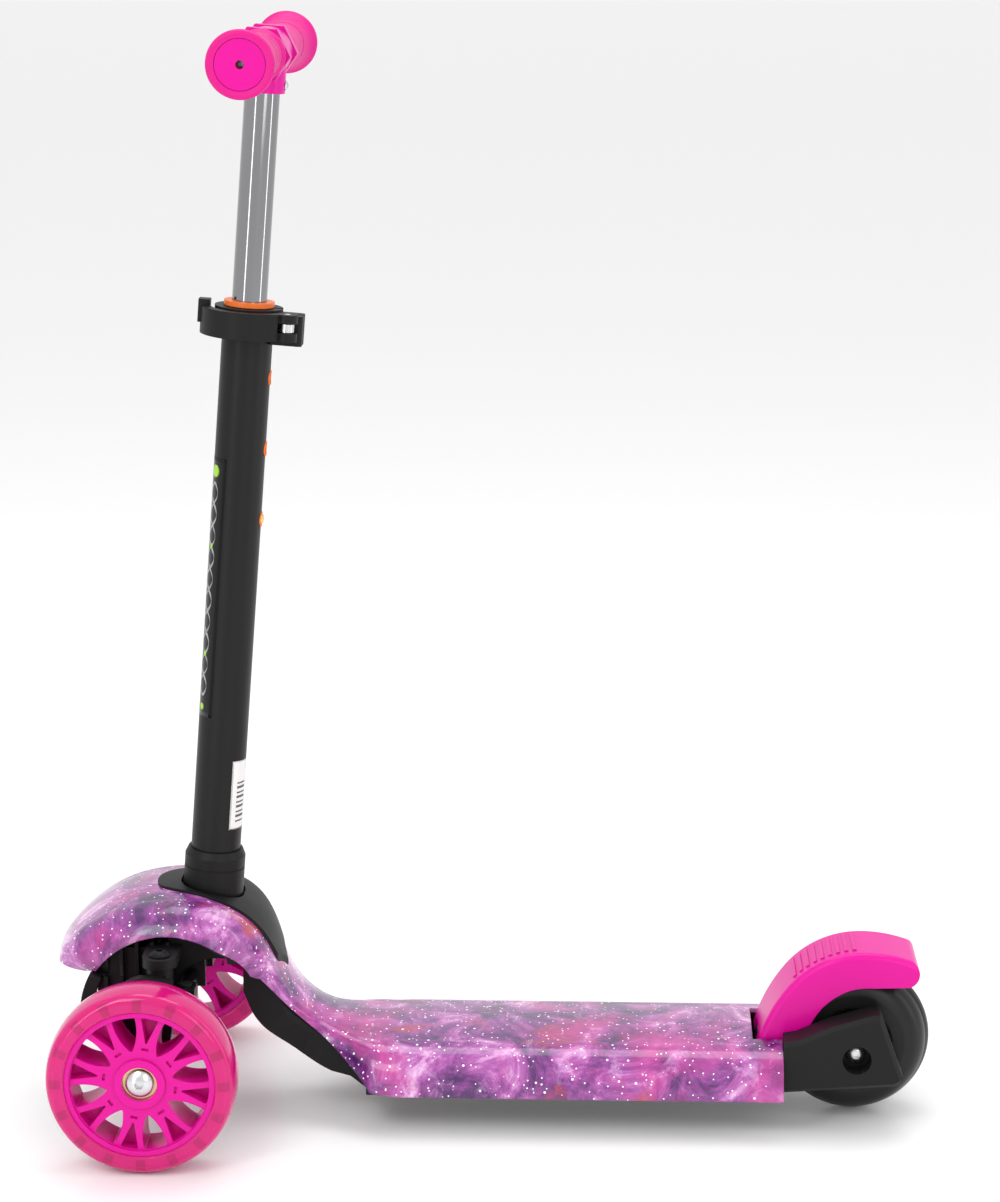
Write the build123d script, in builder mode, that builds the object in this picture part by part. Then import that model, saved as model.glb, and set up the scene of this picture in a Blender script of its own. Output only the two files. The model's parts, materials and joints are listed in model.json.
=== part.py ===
from build123d import *
from math import cos, radians, sin
import os

# Child's three-wheeled kick scooter that steers by leaning its stem.
# Frame: millimetres, +Z up, +X towards the rear, the rider travels towards -X, and -Y is the
# rider's left. The origin is on the ground, under the middle of the overall length.

os.makedirs("parts", exist_ok=True)

# ---------------------------------------------------------------- driving dimensions
FRONT_X = -215.0            # front axle line
WHEELBASE = 449.0
FRONT_R = 60.0              # front wheel radius
FRONT_TRACK_HALF = 120.0    # wheel mid-plane to centre plane
FRONT_TYRE_W = 33.5
FRONT_HUB_R = 47.0
REAR_R = 50.0
REAR_TYRE_W = 39.0
REAR_HUB_R = 24.0

DECK_TOP = 57.5
DECK_BOTTOM = 25.5
DECK_HALF = 62.0            # half width of the standing board
DECK_END = 402.0            # behind the front axle
SHELL_T = 3.0
NECK_HALF = 32.5
ARCH_HALF = 63.0
ARCH_CENTRE = (10.0, 77.0)  # wheel-arch cut, behind the front axle and above the ground
ARCH_R = 54.0

STEM_RAKE = 4.5             # degrees, the top leans to the rear
LEAN_X = 29.5               # where the stem's axis crosses the lean axis
LEAN_Z = 126.0
LEAN_LIMIT = 10.0
TUBE_R = 16.0
TUBE_WALL = 1.5
INNER_R = 11.0
SOCKET_R = 19.6
SOCKET_TOP = 47.5           # along the stem, from the lean axis
CLAMP_LOW = 383.0
CLAMP_HIGH = 402.0
BUTTON_S = 266.8            # snap button, along the stem
HOLE_PITCH = 45.5
BAR_S = 559.2               # handlebar axis, along the stem
BAR_HALF = 133.5
FLANGE_R = 20.3

KINGPIN_X = 6.0             # from the front axle line
KINGPIN_Y = 76.0
STEER_ARM = 16.0
LEVER_ARM = 26.0
ROD_Z = LEAN_Z - LEVER_ARM
AXLE_R = 4.0
BEARING_R = 11.0
BEARING_W = 7.0
RUN = 0.05                  # running clearance on a radius
GAP = 0.3                   # gap between bodies that pass each other

BRAKE_PIN = (391.5, 48.0)   # behind the front axle, above the ground
CHEEK_OUT = 50.0
CHEEK_IN = 28.5


def side_plane(y=0.0):
    """Side view plane at a given Y: x runs to the rear from the front axle line, y runs up."""
    return Plane(origin=(FRONT_X, y, 0), x_dir=(1, 0, 0), z_dir=(0, -1, 0))


def stem_plane(s=0.0):
    """Plane square to the stem, s above the lean axis; its x points to the rear."""
    rake = radians(STEM_RAKE)
    base = (FRONT_X + LEAN_X + s * sin(rake), 0, LEAN_Z + s * cos(rake))
    return Plane(origin=base, x_dir=(cos(rake), 0, -sin(rake)), z_dir=(sin(rake), 0, cos(rake)))


def lateral(x, y, z):
    """Plane facing +Y at a point given from the front axle line."""
    return Plane(origin=(FRONT_X + x, y, z), x_dir=(1, 0, 0), z_dir=(0, 1, 0))


def save(part, name):
    part.label = name
    export_step(part, f"parts/{name}.step")


def main_solid(builder):
    """The largest solid of a part, without the slivers that trimming leaves."""
    return builder.solids().sort_by(SortBy.VOLUME)[-1]


def hexagon(across_flats):
    """Hexagon sketch with a given width across its flats."""
    RegularPolygon(across_flats / 2, 6, major_radius=False)


# ---------------------------------------------------------------- printed shell
# Stations along the shell's spine: x, z, angle of travel above the ground line,
# half width, shoulder radius and depth of the side.
STATIONS = [
    (-69.0, 104.0, 84.0, 46.0, 20.0, 24.0),
    (-64.0, 117.5, 61.0, 51.0, 22.0, 30.0),
    (-50.0, 131.0, 40.0, 57.0, 25.0, 38.0),
    (-28.0, 143.5, 21.0, 61.0, 27.0, 44.0),
    (2.0, 149.8, 3.0, ARCH_HALF, 28.0, 46.0),
    (32.0, 147.6, -12.0, ARCH_HALF, 28.0, 46.0),
    (52.0, 139.6, -34.0, 61.0, 27.0, 44.0),
    (67.5, 122.5, -59.0, 50.0, 22.0, 36.0),
    (76.5, 99.5, -66.0, 38.0, 15.0, 29.0),
    (88.5, 78.5, -50.0, NECK_HALF, 11.0, 25.0),
    (105.0, 66.0, -27.0, 33.0, 12.0, 25.0),
    (124.0, 59.6, -10.0, 46.0, 17.0, 29.0),
    (140.0, 57.8, -2.5, 59.0, 24.0, 31.5),
    (156.0, DECK_TOP, 0.0, DECK_HALF, 26.0, DECK_TOP - DECK_BOTTOM),
]
CROWN = 2.2                 # how far the middle stands above the shoulders' top


def shell_section(station, inset, deeper):
    """Inverted-U outline across the spine, drawn inwards by inset, its sides made deeper."""
    x, z, slope, half, shoulder, depth = station
    tilt = radians(slope)
    plane = Plane(origin=(FRONT_X + x, 0, z), x_dir=(0, 1, 0), z_dir=(cos(tilt), 0, sin(tilt)))
    wide = half - inset
    radius = shoulder - inset
    top = -inset
    low = -depth - deeper
    knee = wide - radius
    with BuildSketch(plane) as section:
        with BuildLine():
            crest = ThreePointArc((-knee, top - CROWN), (0, top), (knee, top - CROWN))
            right = ThreePointArc(crest @ 1,
                                  (knee + radius * sin(radians(45)),
                                   top - CROWN - radius * (1 - cos(radians(45)))),
                                  (wide, top - CROWN - radius))
            bottom = Polyline(right @ 1, (wide, low), (-wide, low), (-wide, top - CROWN - radius))
            ThreePointArc(bottom @ 1,
                          (-knee - radius * sin(radians(45)),
                           top - CROWN - radius * (1 - cos(radians(45)))),
                          crest @ 0)
        make_face()
    return section.sketch


def shell_body(inset, deeper=0.0, first=0):
    """Solid under the shell's skin, drawn inwards by inset, from one station to the board's end."""
    with BuildPart() as body:
        for station in STATIONS[first:]:
            add(shell_section(station, inset, deeper))
        loft()
        add(extrude(shell_section(STATIONS[-1], inset, deeper), DECK_END - STATIONS[-1][0]))
    return body.part


def neck_edge():
    """Lower edge of the shell in side view, from the wheel arch down the neck to the board."""
    with BuildSketch(side_plane(-90)) as outline:
        with BuildLine():
            nose = Polyline((-90, 60), (-90, 106.5), (-62, 104.5), (-47, 103), (-39, 104.5))
            arch = ThreePointArc(nose @ 1, (ARCH_CENTRE[0], ARCH_CENTRE[1] + ARCH_R), (59, 98))
            lobe = ThreePointArc(arch @ 1, (62, 96.5), (65, 95.5))
            neck = Spline(lobe @ 1, (71.6, 87.2), (87.5, 69.5), (103.6, 56.5), (117, 46.5),
                          (129, 36), (137, DECK_BOTTOM))
            Polyline(neck @ 1, (DECK_END + 20, DECK_BOTTOM), (DECK_END + 20, -20), (-90, -20), (-90, 60))
        make_face()
    return outline.sketch


PAN_TOP = 44.0              # top of the under-frame that the board's screw bosses stand on
DECK_SCREW_X = [160.5 + 41 * bay for bay in range(5)]
DECK_SCREW_Y = (-41.5, 41.5)
BOSS_R = 4.0
BOSS_TOP = 53.0
SCREW_R = 1.8
outer_body = shell_body(0)
inner_body = shell_body(SHELL_T, 2.0)
SLOT_REACH = 24.0 * sin(radians(LEAN_LIMIT))
SLOT_R = SOCKET_R + 0.7


def lean_slot(up_to):
    """Upright stadium hole that the stem socket leans in."""
    with BuildSketch(Plane(origin=(FRONT_X + LEAN_X + 1.6, 0, up_to), x_dir=(0, 1, 0), z_dir=(0, 0, 1))) as hole:
        SlotCenterToCenter(2 * SLOT_REACH, 2 * SLOT_R)
    return hole.sketch


with BuildPart() as deck_shell:
    add(outer_body)
    add(inner_body, mode=Mode.SUBTRACT)
    extrude(neck_edge(), 180, mode=Mode.SUBTRACT, dir=(0, 1, 0))
    extrude(lean_slot(120), 60, mode=Mode.SUBTRACT)
    with BuildSketch(Plane.XY.offset(40)):
        with Locations((FRONT_X + DECK_END, 0)):
            Rectangle(38, 58)
    extrude(amount=30, mode=Mode.SUBTRACT)
    boss_feet = [(FRONT_X + x_screw, y_screw, PAN_TOP + 0.4)
                 for x_screw in DECK_SCREW_X for y_screw in DECK_SCREW_Y]
    for foot in boss_feet:
        with Locations(foot):
            Cylinder(BOSS_R, BOSS_TOP - foot[2], align=(Align.CENTER, Align.CENTER, Align.MIN))
    for foot in boss_feet:
        with Locations(foot):
            Cylinder(SCREW_R, 7.0, align=(Align.CENTER, Align.CENTER, Align.MIN), mode=Mode.SUBTRACT)
save(deck_shell.part, "deck_shell")

# ---------------------------------------------------------------- steering cover
COVER_T = 1.8
with BuildPart() as steering_cover:
    add(shell_body(-COVER_T))
    add(outer_body, mode=Mode.SUBTRACT)
    with BuildSketch(Plane.XY.offset(80)):
        with BuildLine():
            near = Spline((FRONT_X - 5, 0), (FRONT_X + 14, -24), (FRONT_X + 40, -29.5),
                          (FRONT_X + 62, -28), (FRONT_X + 73, -20), (FRONT_X + 79.5, 0),
                          tangents=((0.0, -1.0), (0.35, 1.0)))
            mirror(near, about=Plane.XZ)
        make_face()
    extrude(amount=90, mode=Mode.INTERSECT)
    extrude(lean_slot(120), 60, mode=Mode.SUBTRACT)
save(main_solid(steering_cover), "steering_cover")

# ---------------------------------------------------------------- front chassis
BOX_X = (-38.0, 15.0)       # closed box that carries the kingpins and the front of the lean pin
BOX_HALF = 52.0
BOX_Z = (82.0, 121.0)
BOX_WALL = 3.0
EAR_R = 11.0
EAR_T = 6.5
BARREL_Z = (88.8, 117.2)    # knuckle barrel between the ears
PIN_R = 4.0
SADDLE_X = (16.0, 43.5)
SADDLE_R = 22.0
FRONT_WALL_X = (8.0, 15.5)
REAR_WALL_X = (45.0, 52.0)
ROD_X = KINGPIN_X + STEER_ARM
GUIDE_Y = (38.0, 42.0)
SKIN_CLEAR = 0.4            # structure stands this far inside the shell's skin
NECK_STATION = 7            # first station behind the wheel arch


def box(x_range, y_range, z_range, mode=Mode.ADD):
    """Block between limits; x is measured from the front axle line."""
    with Locations((FRONT_X + x_range[0], y_range[0], z_range[0])):
        Box(x_range[1] - x_range[0], y_range[1] - y_range[0], z_range[1] - z_range[0],
            align=(Align.MIN, Align.MIN, Align.MIN), mode=mode)


def both_sides(x_range, y_range, z_range, mode=Mode.ADD):
    """The same block on the left and on the right."""
    box(x_range, y_range, z_range, mode)
    box(x_range, (-y_range[1], -y_range[0]), z_range, mode)


def rod(plane, radius, length, mode=Mode.ADD):
    """Round bar or hole that starts on a plane and follows its normal."""
    with BuildSketch(plane) as disc:
        Circle(radius)
    extrude(disc.sketch, amount=length, mode=mode)


def along_x(x, y, z):
    """Plane facing the rear at a point given from the front axle line."""
    return Plane(origin=(FRONT_X + x, y, z), x_dir=(0, 1, 0), z_dir=(1, 0, 0))


def upright(x, y, z):
    """Level plane at a point given from the front axle line."""
    return Plane(origin=(FRONT_X + x, y, z))


def web_outline(y):
    """Scooped side web that ties the box to the rear wall."""
    with BuildSketch(side_plane(y)) as outline:
        with BuildLine():
            top = Polyline((13, 101), (13, 129), (REAR_WALL_X[1], 129), (REAR_WALL_X[1], 112))
            ThreePointArc(top @ 1, (30, 113), top @ 0)
        make_face()
    return outline.sketch


with BuildPart() as skin:
    add(shell_body(-9.0))
    add(shell_body(SHELL_T + SKIN_CLEAR, 2.0), mode=Mode.SUBTRACT)
skin_zone = skin.part

with BuildPart() as front_chassis:
    box(FRONT_WALL_X, (-BOX_HALF, BOX_HALF), (BOX_Z[0], 140))
    box(REAR_WALL_X, (-BOX_HALF, BOX_HALF), (108, 140))
    extrude(web_outline(-BOX_HALF), -5)
    extrude(web_outline(BOX_HALF), 5)
    for x_liner in ((-60, -35), (16, 52.6)):
        with BuildSketch(side_plane(-58)):
            with Locations(ARCH_CENTRE):
                Circle(ARCH_R + 5)
                Circle(ARCH_R - 3, mode=Mode.SUBTRACT)
            with Locations(((x_liner[0] + x_liner[1]) / 2, 108)):
                Rectangle(x_liner[1] - x_liner[0], 50, mode=Mode.INTERSECT)
        extrude(amount=-116)
    # Room for the tie rod, the stem's lever and the saddle.
    box((-62, 62), (-46, 46), (60, 108), Mode.SUBTRACT)
    box((FRONT_WALL_X[1], REAR_WALL_X[0]), (-47, 47), (60, 150), Mode.SUBTRACT)
    box(BOX_X, (-BOX_HALF, BOX_HALF), BOX_Z)
    box((BOX_X[0] + BOX_WALL, FRONT_WALL_X[0]), (-BOX_HALF + BOX_WALL, BOX_HALF - BOX_WALL),
        (BOX_Z[0] + BOX_WALL, BOX_Z[1] + 1), Mode.SUBTRACT)
    both_sides((-1, 2), (0, BOX_HALF - 1), BOX_Z)
    for rib in range(5):
        both_sides((-33 + 10 * rib, -30.5 + 10 * rib), (BOX_HALF - 1, BOX_HALF + 4.5), (BOX_Z[0] + 12, 126))
    both_sides((14, 30), GUIDE_Y, (ROD_Z - 8, ROD_Z + 14))
    add(skin_zone, mode=Mode.SUBTRACT)
    for z_ear in (BARREL_Z[0] - GAP - EAR_T, BARREL_Z[1] + GAP):
        both_sides((KINGPIN_X - EAR_R, KINGPIN_X + EAR_R), (BOX_HALF - 4, KINGPIN_Y), (z_ear, z_ear + EAR_T))
        for y_pin in (-KINGPIN_Y, KINGPIN_Y):
            rod(upright(KINGPIN_X, y_pin, z_ear), EAR_R, EAR_T)
    for y_pin in (-KINGPIN_Y, KINGPIN_Y):
        rod(upright(KINGPIN_X, y_pin, 70), PIN_R, 70, Mode.SUBTRACT)
    rod(along_x(0, 0, LEAN_Z), PIN_R, 60, Mode.SUBTRACT)
    rod(lateral(ROD_X, -60, ROD_Z), PIN_R + 2 * RUN, 120, Mode.SUBTRACT)
save(main_solid(front_chassis), "front_chassis")

# ---------------------------------------------------------------- under-frame
BRACKET_SCREW_X = (362.0, 376.0)
BRACKET_SCREW_Y = (-20.0, 20.0)
BRACKET_HEAD_R = 4.2
BRACKET_SEAT = 2.4          # depth that the heads are sunk into the under-frame
PAN_X = (134.0, 396.0)
PAN_Z = (19.0, PAN_TOP)
PAN_EDGE_Z = 25.2           # bottom of the pan's outer edge
PAN_KEEL = 42.0             # half width of its flat bottom
PAN_HALF = 56.5
with BuildPart() as under_frame:
    with BuildSketch(side_plane(-29)):
        with BuildLine():
            low = Polyline((53, 108), (53, 84), (58, 71))
            belly = Spline(low @ 1, (67.6, 58.4), (87, 45), (100, 35.8), (110, 30.2),
                           tangents=((0.5, -1.0), (1.0, -0.45)))
            Polyline(belly @ 1, (122, 27), (131, 20), (135, PAN_Z[0]), (PAN_X[1], PAN_Z[0]),
                     (PAN_X[1], 60), (53, 140), (53, 108))
        make_face()
    extrude(amount=-58)
    with BuildSketch(along_x(PAN_X[0], 0, 0)):
        with BuildLine():
            Polyline((-PAN_HALF, PAN_EDGE_Z), (-PAN_KEEL, PAN_Z[0]), (PAN_KEEL, PAN_Z[0]),
                     (PAN_HALF, PAN_EDGE_Z), (PAN_HALF, PAN_Z[1]), (-PAN_HALF, PAN_Z[1]), close=True)
        make_face()
    extrude(amount=PAN_X[1] - PAN_X[0])
    add(shell_body(SHELL_T + SKIN_CLEAR, 60.0, NECK_STATION), mode=Mode.INTERSECT)
    add(skin_zone, mode=Mode.SUBTRACT)
    box((40, 53), (-90, 90), (0, 200), Mode.SUBTRACT)
    for bay in range(5):
        for side in (-1, 1):
            near, far = sorted((side * 3, side * 51))
            box((142 + 41 * bay, 179 + 41 * bay), (near, far), (PAN_Z[0] - 1, PAN_Z[1] - 6), Mode.SUBTRACT)
    box((350, 400), (-51, 51), (PAN_Z[0] + 9, 70), Mode.SUBTRACT)
    rod(along_x(40, 0, LEAN_Z), PIN_R + 4, 30, Mode.SUBTRACT)
    for x_screw in DECK_SCREW_X:
        for y_screw in DECK_SCREW_Y:
            rod(upright(x_screw, y_screw, PAN_Z[0]), SCREW_R, PAN_Z[1], Mode.SUBTRACT)
    for x_screw in BRACKET_SCREW_X:
        for y_screw in BRACKET_SCREW_Y:
            rod(upright(x_screw, y_screw, 0), 2.0, PAN_Z[1], Mode.SUBTRACT)
            rod(upright(x_screw, y_screw, 0), BRACKET_HEAD_R + 0.8, PAN_Z[0] + BRACKET_SEAT, Mode.SUBTRACT)
save(main_solid(under_frame), "under_frame")

# ---------------------------------------------------------------- rear bracket and axle
CHEEK_Z = 27.0
RECESS_R = 9.3
RECESS_Y = 36.0
AXLE_NUT = 13.0
BRAKE_PIN_R = 3.0
BRAKE_REST_GAP = 4.5        # pad to tyre

with BuildPart() as rear_bracket:
    with BuildSketch(side_plane(-CHEEK_OUT)) as cheek:
        with BuildLine():
            Polyline((402.4, 60.5), (402.4, CHEEK_Z), (474, 32), (479.5, 35.5), (464, 80), (457, 79),
                     (432, 71.5), (411, 62), close=True)
        make_face()
        fillet(cheek.vertices().sort_by(Axis.X)[-3:], 3)
    extrude(cheek.sketch, amount=-(CHEEK_OUT - CHEEK_IN))
    extrude(Pos(0, CHEEK_OUT + CHEEK_IN, 0) * cheek.sketch, amount=-(CHEEK_OUT - CHEEK_IN))
    outer_faces = rear_bracket.faces().filter_by(Axis.Y).group_by(lambda face: abs(face.center().Y))[-1]
    chamfer([edge for edge in outer_faces.edges() if edge.center().X > FRONT_X + 403], 2.5)
    both_sides((352, 402.4), (CHEEK_IN, 50), (28.3, 48))
    both_sides((383, 402.4), (CHEEK_IN, 50), (28.3, 54.0))
    box((352, 402.4), (-40, 40), (28.5, 40))
    box((357, 380), (-34, 34), (33, 60), Mode.SUBTRACT)
    both_sides((357, 380), (37, 46.5), (33, 60), Mode.SUBTRACT)
    both_sides((412, 440), (CHEEK_IN + 4, CHEEK_OUT - 4), (20, 42), Mode.SUBTRACT)
    both_sides((462, 472), (CHEEK_IN + 4, CHEEK_OUT - 4), (20, 44), Mode.SUBTRACT)
    rod(lateral(WHEELBASE, -RECESS_Y + 13.5, REAR_R), REAR_R + 3, 2 * RECESS_Y - 27, Mode.SUBTRACT)
    box((385, 402.4), (-CHEEK_IN, CHEEK_IN), (37, 60), Mode.SUBTRACT)
    for y_cut in (-CHEEK_OUT - 1, RECESS_Y):
        rod(lateral(WHEELBASE, y_cut, REAR_R), RECESS_R, CHEEK_OUT - RECESS_Y + 1, Mode.SUBTRACT)
    rod(lateral(WHEELBASE, -60, REAR_R), AXLE_R, 120, Mode.SUBTRACT)
    rod(lateral(BRAKE_PIN[0], -44, BRAKE_PIN[1]), BRAKE_PIN_R, 88, Mode.SUBTRACT)
    for x_screw in BRACKET_SCREW_X:
        for y_screw in BRACKET_SCREW_Y:
            rod(upright(x_screw, y_screw, 0), 2.0, PAN_Z[1], Mode.SUBTRACT)
    add(skin_zone, mode=Mode.SUBTRACT)
save(main_solid(rear_bracket), "rear_bracket")


def dome(plane, radius, height, edge):
    """Low domed screw head that stands on a plane."""
    with BuildSketch(Plane(origin=plane.origin, x_dir=plane.x_dir, z_dir=-plane.y_dir)) as half:
        with BuildLine():
            foot = Polyline((0, height), (0, 0), (radius, 0), (radius, edge))
            ThreePointArc(foot @ 1, (radius * 0.6, height * 0.82), foot @ 0)
        make_face()
    return revolve(half.sketch, Axis(plane.origin, plane.z_dir), mode=Mode.PRIVATE)


def bolt(plane, head_r, head_h, shank_r, length, key):
    """Domed bolt: its head stands on the plane and its shank goes the other way."""
    with BuildPart() as made:
        add(dome(plane, head_r, head_h, head_h * 0.3))
        rod(Plane(origin=plane.origin, x_dir=plane.x_dir, z_dir=-plane.z_dir), shank_r, length)
        with BuildSketch(plane.offset(head_h * 0.35)) as socket:
            hexagon(key)
        extrude(socket.sketch, amount=head_h, mode=Mode.SUBTRACT)
    return made.part


def nut(plane, across, height, hole_r):
    """Hexagon nut that stands on a plane."""
    with BuildPart() as made:
        with BuildSketch(plane) as flats:
            hexagon(across)
            Circle(hole_r, mode=Mode.SUBTRACT)
        extrude(flats.sketch, amount=height)
    return made.part


def facing(x, y, z, outward):
    """Plane at a point whose normal points out to one side, +1 for the right and -1 for the left."""
    return Plane(origin=(FRONT_X + x, y, z), x_dir=(1, 0, 0), z_dir=(0, outward, 0))


rear_axle = bolt(facing(WHEELBASE, -RECESS_Y, REAR_R, -1), 6.5, 4.0, AXLE_R, 2 * RECESS_Y + 8, 5.0)
save(rear_axle, "rear_axle")
save(nut(facing(WHEELBASE, RECESS_Y, REAR_R, 1), AXLE_NUT, 6.5, AXLE_R), "rear_axle_nut")

with BuildPart() as brake_pin:
    rod(lateral(BRAKE_PIN[0], -43, BRAKE_PIN[1]), BRAKE_PIN_R, 86)
save(brake_pin.part, "brake_pin")

# ---------------------------------------------------------------- wheels
SPOKES = 8
SPOKE_PHASE = 10.0


def bearing_pair(x, y_mid, z, half_out):
    """Two ball bearings, each with its outer faces half_out from the wheel's middle."""
    with BuildPart() as made:
        for y_face in (y_mid - half_out, y_mid + half_out - BEARING_W):
            rod(lateral(x, y_face, z), BEARING_R, BEARING_W)
            for groove_face, depth in ((y_face, 0.5), (y_face + BEARING_W - 0.5, 0.5)):
                rod(lateral(x, groove_face, z), 9.2, depth, Mode.SUBTRACT)
                rod(lateral(x, groove_face, z), 6.0, depth)
            rod(lateral(x, y_face, z), AXLE_R + RUN, BEARING_W, Mode.SUBTRACT)
    return made.part


def spacer(x, y_start, z, length, outer, inner):
    with BuildPart() as made:
        rod(lateral(x, y_start, z), outer, length)
        rod(lateral(x, y_start, z), inner, length, Mode.SUBTRACT)
    return made.part


def spun(x, y_mid, z, outline):
    """Ring turned about a wheel's axle from an outline of (offset from mid-plane, radius) curves."""
    return revolve(outline, Axis((FRONT_X + x, y_mid, z), (0, 1, 0)), mode=Mode.PRIVATE)


def tyre(x, y_mid, z, hub_r, radius, width, crown, shoulder):
    """Tyre with a crowned tread and rounded shoulders."""
    half = width / 2
    with BuildSketch(Plane(origin=(FRONT_X + x, y_mid, z), x_dir=(0, 1, 0), z_dir=(-1, 0, 0))) as outline:
        with BuildLine():
            tread = ThreePointArc((-half + shoulder, radius - crown), (0, radius),
                                  (half - shoulder, radius - crown))
            right = ThreePointArc(tread @ 1, (half - shoulder * 0.25, radius - crown - shoulder * 0.42),
                                  (half, radius - crown - shoulder * 1.25))
            wall = Polyline(right @ 1, (half, hub_r + 1.0), (half - 1.0, hub_r), (-half + 1.0, hub_r),
                            (-half, hub_r + 1.0), (-half, radius - crown - shoulder * 1.25))
            ThreePointArc(wall @ 1, (-half + shoulder * 0.25, radius - crown - shoulder * 0.42), tread @ 0)
        make_face()
    return spun(x, y_mid, z, outline.sketch)


def spoke_window():
    """Petal-shaped hole between two spokes, along +X."""
    with BuildSketch() as window:
        with BuildLine():
            upper = ThreePointArc((20.5, 0), (29, 4.9), (42.6, 7.2))
            rim = ThreePointArc(upper @ 1, (43.2, 0), (42.6, -7.2))
            ThreePointArc(rim @ 1, (29, -4.9), upper @ 0)
        make_face()
        fillet(window.vertices(), 1.0)
    return window.sketch


def spoke_pocket():
    """Triangular recess inside a forked spoke, along +X."""
    with BuildSketch() as pocket:
        with BuildLine():
            upper = Line((26.5, 0.4), (42.9, 5.6))
            rim = ThreePointArc(upper @ 1, (43.3, 0), (42.9, -5.6))
            Polyline(rim @ 1, (26.5, -0.4), (26.5, 0.4))
        make_face()
        fillet(pocket.vertices().sort_by(Axis.X)[-2:], 1.0)
    return pocket.sketch


def spoke_slot():
    """Small notch at the foot of a spoke."""
    with BuildSketch() as slot:
        with Locations((22.6, 0)):
            Rectangle(1.7, 4.4)
    return slot.sketch


WEB_HALF = 12.5             # half thickness of the spokes
SPOKE_CUTS = (              # outline, turn from the spoke, start and depth from the mid-plane
    (spoke_window(), 180 / SPOKES, -20, 40),
    (spoke_pocket(), 0, -20, 17.5),
    (spoke_pocket(), 0, 2.5, 17.5),
    (spoke_slot(), 0, -20, 20 - WEB_HALF + 1.8),
    (spoke_slot(), 0, WEB_HALF - 1.8, 20 - WEB_HALF + 1.8),
)


def front_hub(y_mid):
    """Forked-spoke hub of a front wheel."""
    with BuildPart() as made:
        rod(lateral(0, y_mid - 15, FRONT_R), FRONT_HUB_R, 30)
        rod(lateral(0, y_mid - 15, FRONT_R), 43.8, 15 - WEB_HALF, Mode.SUBTRACT)
        rod(lateral(0, y_mid + WEB_HALF, FRONT_R), 43.8, 15 - WEB_HALF, Mode.SUBTRACT)
        rod(lateral(0, y_mid - 14.5, FRONT_R), 16.0, 29)
        for outline, turn, start, depth in SPOKE_CUTS:
            for index in range(SPOKES):
                spin = SPOKE_PHASE + turn + index * 360 / SPOKES
                face = lateral(0, y_mid + start, FRONT_R).location * Rot(0, 0, spin)
                extrude(face * outline, amount=depth, dir=(0, 1, 0), mode=Mode.SUBTRACT)
        rod(lateral(0, y_mid - 16, FRONT_R), 8.5, 32, Mode.SUBTRACT)
        rod(lateral(0, y_mid - 16, FRONT_R), BEARING_R, 16 - 4.5, Mode.SUBTRACT)
        rod(lateral(0, y_mid + 4.5, FRONT_R), BEARING_R, 16 - 4.5, Mode.SUBTRACT)
    return made.part


FRONT_BEARING = 11.5        # outer face of each bearing from the front wheel's middle
for side, outward in (("left", -1), ("right", 1)):
    y_wheel = outward * FRONT_TRACK_HALF
    save(front_hub(y_wheel), f"front_hub_{side}")
    save(tyre(0, y_wheel, FRONT_R, FRONT_HUB_R, FRONT_R, FRONT_TYRE_W, 1.2, 5.5), f"front_tyre_{side}")
    save(bearing_pair(0, y_wheel, FRONT_R, FRONT_BEARING), f"front_bearings_{side}")
    save(spacer(0, y_wheel - 4.5, FRONT_R, 9, 7.5, AXLE_R + 0.15), f"front_spacer_{side}")

REAR_BEARING = 14.5
with BuildPart() as rear_hub:
    rod(lateral(WHEELBASE, -15, REAR_R), REAR_HUB_R, 30)
    for y_dish in (-15, 6):
        with BuildSketch(lateral(WHEELBASE, y_dish, REAR_R)) as dish:
            Circle(21.5)
            Circle(14.0, mode=Mode.SUBTRACT)
        extrude(dish.sketch, amount=9, mode=Mode.SUBTRACT)
    rod(lateral(WHEELBASE, -15, REAR_R), 8.5, 30, Mode.SUBTRACT)
    for y_seat in (-15.0, 7.5):
        rod(lateral(WHEELBASE, y_seat, REAR_R), BEARING_R, 7.5, Mode.SUBTRACT)
save(rear_hub.part, "rear_hub")
save(tyre(WHEELBASE, 0, REAR_R, REAR_HUB_R, REAR_R, REAR_TYRE_W, 2.6, 13.0), "rear_tyre")
save(bearing_pair(WHEELBASE, 0, REAR_R, REAR_BEARING), "rear_bearings")
save(spacer(WHEELBASE, -7.5, REAR_R, 15, 7.5, AXLE_R + 0.15), "rear_spacer")
with BuildPart() as side_spacers:
    for y_start in (-CHEEK_IN, REAR_BEARING + GAP):
        add(spacer(WHEELBASE, y_start, REAR_R, CHEEK_IN - REAR_BEARING - GAP, 7.0, AXLE_R))
save(side_spacers.part, "rear_side_spacers")

# ---------------------------------------------------------------- knuckles, kingpins and tie rod
KNUCKLE_IN = 90.0           # inner face of the knuckle's upright
KNUCKLE_OUT = 98.0
BOSS_END = FRONT_TRACK_HALF - FRONT_BEARING - GAP
ROD_EYE = 8.4               # width of the tie rod's slots for the drive pins
DRIVE_R = 4.0


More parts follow.
